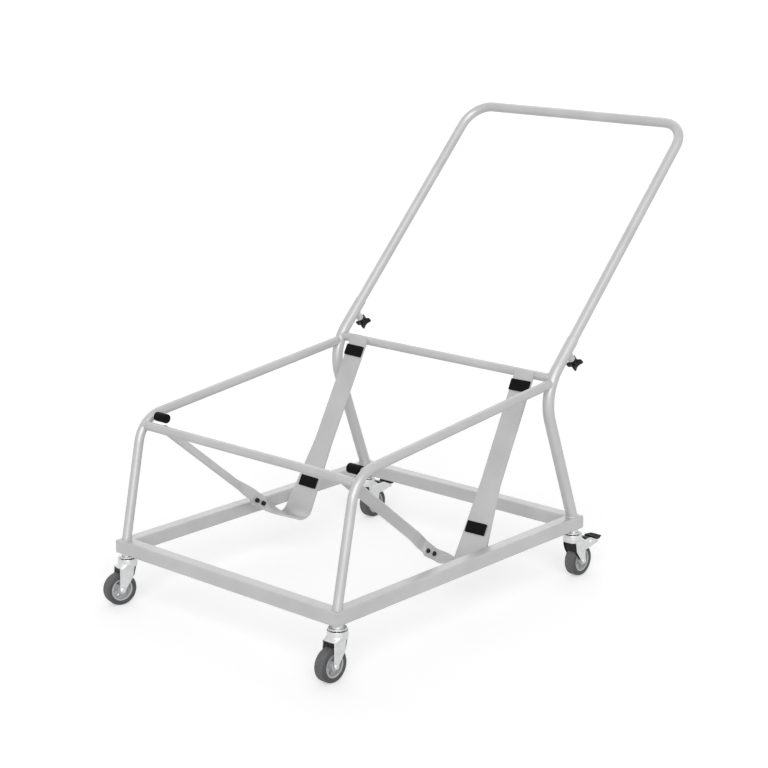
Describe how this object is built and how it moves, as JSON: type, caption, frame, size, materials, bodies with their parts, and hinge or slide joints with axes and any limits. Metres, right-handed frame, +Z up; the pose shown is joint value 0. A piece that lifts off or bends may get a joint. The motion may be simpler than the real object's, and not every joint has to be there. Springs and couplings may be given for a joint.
{
  "type": "chair trolley",
  "caption": "Low tube-frame trolley on swivel casters for moving stacked chairs, with padded slanted support bars, stub pegs and a clamped slide-in push handle.",
  "frame": {"origin": "on the floor, at the middle of the bounding box from above", "axes": "+X to the right seen from the front, +Y to the rear where the handle is, +Z up"},
  "size_m": [0.6706, 1.2138, 0.9711],
  "materials": {
    "frame_paint": "satin light silver-grey powder coat",
    "zinc_steel": "bright zinc plate",
    "black_steel": "blackened steel",
    "black_plastic": "moulded black plastic",
    "black_rubber": "matt black rubber",
    "grey_tyre": "dark grey non-marking rubber",
    "grey_hub": "moulded mid-grey plastic"
  },
  "bodies": {
    "frame": {"base_front_beam": "frame_paint", "base_rear_beam": "frame_paint", "base_left_beam": "frame_paint", "base_right_beam": "frame_paint", "front_cross_tube": "frame_paint", "rear_cross_tube": "frame_paint", "left_side_tube": "frame_paint", "left_rear_post": "frame_paint", "left_clamp_boss": "frame_paint", "left_peg": "frame_paint", "left_support_bar": "frame_paint", "left_front_strut": "frame_paint", "left_peg_sleeve": "black_rubber", "left_upper_pad": "black_rubber", "left_lower_pad": "black_rubber", "right_side_tube": "frame_paint", "right_rear_post": "frame_paint", "right_clamp_boss": "frame_paint", "right_peg": "frame_paint", "right_support_bar": "frame_paint", "right_front_strut": "frame_paint", "right_peg_sleeve": "black_rubber", "right_upper_pad": "black_rubber", "right_lower_pad": "black_rubber", "support_screws": "black_steel", "caster_weld_nuts": "zinc_steel", "swivel_balls": "zinc_steel", "front_left_stem": "zinc_steel", "front_right_stem": "zinc_steel", "rear_left_stem": "zinc_steel", "rear_right_stem": "zinc_steel"},
    "handle": {"handle_tube": "frame_paint"},
    "left_stud": {"left_clamp_stud": "zinc_steel"},
    "left_knob": {"left_knob_head": "black_plastic"},
    "right_stud": {"right_clamp_stud": "zinc_steel"},
    "right_knob": {"right_knob_head": "black_plastic"},
    "front_left_swivel": {"front_left_fork": "zinc_steel", "front_left_axle": "zinc_steel", "front_left_tyre_guard": "black_plastic"},
    "front_left_wheel": {"front_left_hub": "grey_hub", "front_left_tyre": "grey_tyre"},
    "front_right_swivel": {"front_right_fork": "zinc_steel", "front_right_axle": "zinc_steel", "front_right_tyre_guard": "black_plastic"},
    "front_right_wheel": {"front_right_hub": "grey_hub", "front_right_tyre": "grey_tyre"},
    "rear_left_swivel": {"rear_left_fork": "zinc_steel", "rear_left_axle": "zinc_steel", "rear_left_tyre_guard": "black_plastic", "rear_left_brake_pin": "zinc_steel"},
    "rear_left_wheel": {"rear_left_hub": "grey_hub", "rear_left_tyre": "grey_tyre"},
    "rear_left_brake": {"rear_left_brake_pedal": "black_plastic"},
    "rear_right_swivel": {"rear_right_fork": "zinc_steel", "rear_right_axle": "zinc_steel", "rear_right_tyre_guard": "black_plastic", "rear_right_brake_pin": "zinc_steel"},
    "rear_right_wheel": {"rear_right_hub": "grey_hub", "rear_right_tyre": "grey_tyre"},
    "rear_right_brake": {"rear_right_brake_pedal": "black_plastic"}
  },
  "joints": [
    {"name": "handle_slide", "type": "slide", "parent": "frame", "child": "handle", "axis": [0, 0.6997, 0.7145], "range_m": [0, 0.07]},
    {"name": "left_stud_slide", "type": "slide", "parent": "frame", "child": "left_stud", "axis": [0, 0.7145, -0.6997], "range_m": [0, 0.005]},
    {"name": "left_knob_turn", "type": "hinge", "parent": "left_stud", "child": "left_knob", "pos_m": [-0.30669, 0.16244, 0.51752], "axis": [0, 0.7145, -0.6997], "range_deg": [0, 1440]},
    {"name": "right_stud_slide", "type": "slide", "parent": "frame", "child": "right_stud", "axis": [0, 0.7145, -0.6997], "range_m": [0, 0.005]},
    {"name": "right_knob_turn", "type": "hinge", "parent": "right_stud", "child": "right_knob", "pos_m": [0.31331, 0.16244, 0.51752], "axis": [0, 0.7145, -0.6997], "range_deg": [0, 1440]},
    {"name": "front_left_swivel_turn", "type": "hinge", "parent": "frame", "child": "front_left_swivel", "pos_m": [-0.30669, -0.55077, 0.096], "axis": [0, 0, 1], "continuous": true},
    {"name": "front_left_wheel_spin", "type": "hinge", "parent": "front_left_swivel", "child": "front_left_wheel", "pos_m": [-0.31212, -0.57106, 0.035], "axis": [-0.9659, 0.2588, 0], "continuous": true},
    {"name": "front_right_swivel_turn", "type": "hinge", "parent": "frame", "child": "front_right_swivel", "pos_m": [0.31331, -0.55077, 0.096], "axis": [0, 0, 1], "continuous": true},
    {"name": "front_right_wheel_spin", "type": "hinge", "parent": "front_right_swivel", "child": "front_right_wheel", "pos_m": [0.31331, -0.57177, 0.035], "axis": [-1, 0, 0], "continuous": true},
    {"name": "rear_left_swivel_turn", "type": "hinge", "parent": "frame", "child": "rear_left_swivel", "pos_m": [-0.30669, 0.19723, 0.096], "axis": [0, 0, 1], "continuous": true},
    {"name": "rear_left_wheel_spin", "type": "hinge", "parent": "rear_left_swivel", "child": "rear_left_wheel", "pos_m": [-0.30669, 0.21823, 0.035], "axis": [1, 0, 0], "continuous": true},
    {"name": "rear_left_brake_press", "type": "hinge", "parent": "rear_left_swivel", "child": "rear_left_brake", "pos_m": [-0.30669, 0.24323, 0.0735], "axis": [-1, 0, 0], "range_deg": [0, 14]},
    {"name": "rear_right_swivel_turn", "type": "hinge", "parent": "frame", "child": "rear_right_swivel", "pos_m": [0.31331, 0.19723, 0.096], "axis": [0, 0, 1], "continuous": true},
    {"name": "rear_right_wheel_spin", "type": "hinge", "parent": "rear_right_swivel", "child": "rear_right_wheel", "pos_m": [0.31331, 0.21823, 0.035], "axis": [1, 0, 0], "continuous": true},
    {"name": "rear_right_brake_press", "type": "hinge", "parent": "rear_right_swivel", "child": "rear_right_brake", "pos_m": [0.31331, 0.24323, 0.0735], "axis": [-1, 0, 0], "range_deg": [0, 14]}
  ],
  "couplings": [
    {"joint": "left_stud_slide", "follows": "left_knob_turn", "m_per_rad": 0.00019894},
    {"joint": "right_stud_slide", "follows": "right_knob_turn", "m_per_rad": 0.00019894}
  ]
}
